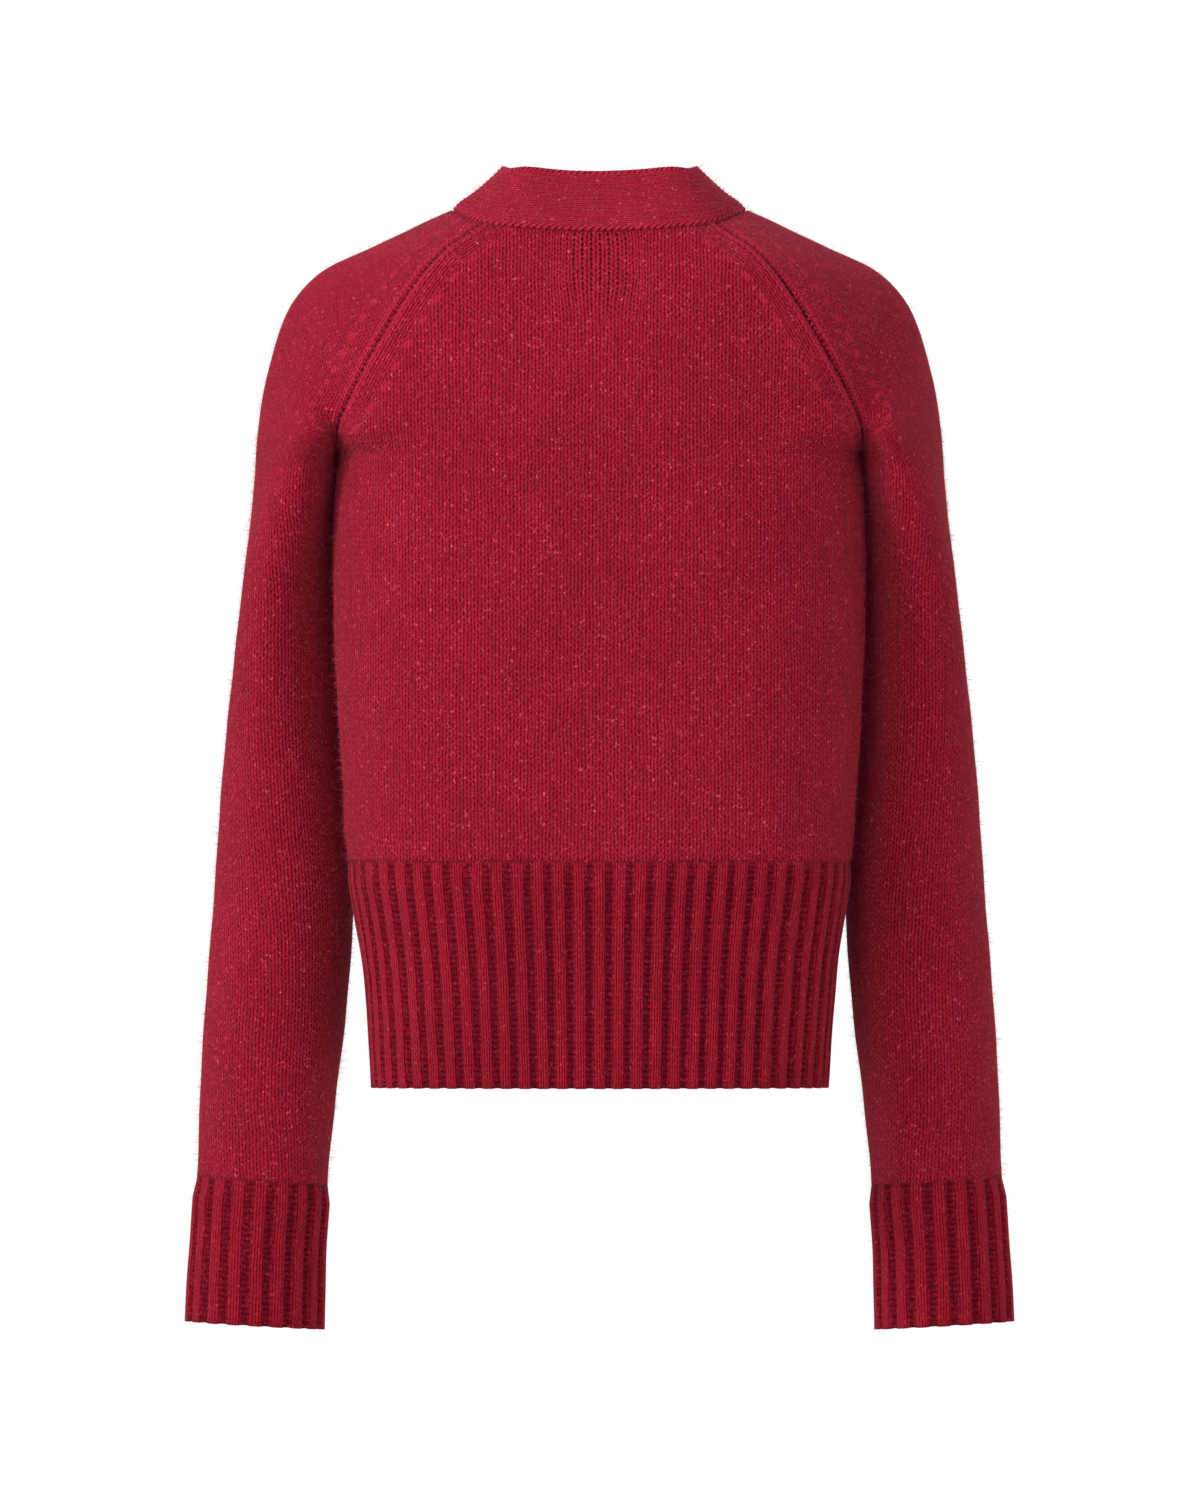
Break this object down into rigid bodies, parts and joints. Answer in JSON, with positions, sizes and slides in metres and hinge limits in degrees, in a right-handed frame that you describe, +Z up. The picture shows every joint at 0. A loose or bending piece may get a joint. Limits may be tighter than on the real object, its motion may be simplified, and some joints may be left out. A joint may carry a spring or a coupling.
{
  "type": "cardigan",
  "caption": "Cropped knitted cardigan with raglan sleeves, deep ribbed hem and cuffs, a V neck and a buttoned front band, hollow as worn.",
  "frame": {"origin": "at the base of the neck, on the line of the shoulders, where a wearer or a hanger holds the garment", "axes": "+Z up, -Y out of the buttoned front, +X towards the wearer's left sleeve"},
  "size_m": [0.498, 0.2303, 0.6982],
  "materials": {
    "knit_red": "fuzzy plain knit in deep red with light flecks",
    "rib_red": "fuzzy rib knit in deep red",
    "band_red": "fuzzy knit in deep red with fine rows along the band",
    "button_red": "satin dark red plastic"
  },
  "bodies": {
    "root": {"back_panel": "knit_red", "front_panel_left": "knit_red", "front_panel_right": "knit_red", "sleeve_left": "knit_red", "sleeve_right": "knit_red", "hem_rib_back": "rib_red", "hem_rib_front_left": "rib_red", "hem_rib_front_right": "rib_red", "cuff_left": "rib_red", "cuff_right": "rib_red", "neck_band": "band_red", "button_1": "button_red", "button_2": "button_red", "button_3": "button_red", "button_4": "button_red", "button_5": "button_red", "button_6": "button_red"}
  },
  "joints": []
}
